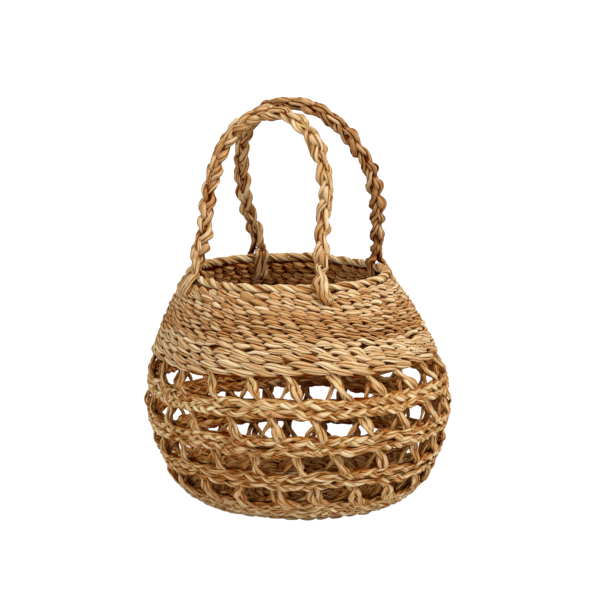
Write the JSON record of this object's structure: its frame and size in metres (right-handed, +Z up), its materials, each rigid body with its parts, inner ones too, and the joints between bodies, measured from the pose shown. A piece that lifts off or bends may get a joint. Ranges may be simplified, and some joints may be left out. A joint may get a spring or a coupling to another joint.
{
  "type": "seagrass basket",
  "caption": "Pot-bellied hand-woven seagrass basket with open lattice sides, a dense shoulder, a rope rim and plaited handles that swing.",
  "frame": {"origin": "on the ground at the middle of the base", "axes": "+Z up, +X along the chord between the feet of a handle, -Y towards the front handle"},
  "size_m": [0.3076, 0.3076, 0.4002],
  "materials": {
    "weft": "matte twisted seagrass",
    "stake": "matte seagrass cord",
    "plait": "matte plaited seagrass"
  },
  "bodies": {
    "basket": {"base": "weft", "outer_stake_01": "stake", "inner_stake_01": "stake", "outer_stake_02": "stake", "inner_stake_02": "stake", "outer_stake_03": "stake", "inner_stake_03": "stake", "outer_stake_04": "stake", "inner_stake_04": "stake", "outer_stake_05": "stake", "inner_stake_05": "stake", "outer_stake_06": "stake", "inner_stake_06": "stake", "outer_stake_07": "stake", "inner_stake_07": "stake", "outer_stake_08": "stake", "inner_stake_08": "stake", "outer_stake_09": "stake", "inner_stake_09": "stake", "outer_stake_10": "stake", "inner_stake_10": "stake", "outer_stake_11": "stake", "inner_stake_11": "stake", "outer_stake_12": "stake", "inner_stake_12": "stake", "outer_stake_13": "stake", "inner_stake_13": "stake", "outer_stake_14": "stake", "inner_stake_14": "stake", "outer_stake_15": "stake", "inner_stake_15": "stake", "outer_stake_16": "stake", "inner_stake_16": "stake", "outer_stake_17": "stake", "inner_stake_17": "stake", "outer_stake_18": "stake", "inner_stake_18": "stake", "outer_stake_19": "stake", "inner_stake_19": "stake", "outer_stake_20": "stake", "inner_stake_20": "stake", "outer_stake_21": "stake", "inner_stake_21": "stake", "outer_stake_22": "stake", "inner_stake_22": "stake", "lower_band_outer": "weft", "lower_band_inner": "weft", "middle_band_outer": "weft", "middle_band_inner": "weft", "upper_band_outer": "weft", "upper_band_inner": "weft", "shoulder": "weft", "rim_rope": "weft", "front_left_foot": "plait", "front_right_foot": "plait", "back_left_foot": "plait", "back_right_foot": "plait"},
    "front_handle": {"front_handle": "plait"},
    "back_handle": {"back_handle": "plait"}
  },
  "joints": [
    {"name": "front_handle_swing", "type": "hinge", "parent": "basket", "child": "front_handle", "pos_m": [-0.00961, -0.07755, 0.2408], "axis": [0.9998, 0.0174, 0], "range_deg": [-3, 70]},
    {"name": "back_handle_swing", "type": "hinge", "parent": "basket", "child": "back_handle", "pos_m": [-0.01214, 0.0674, 0.2408], "axis": [-0.9998, -0.0174, 0], "range_deg": [-3, 70]}
  ]
}
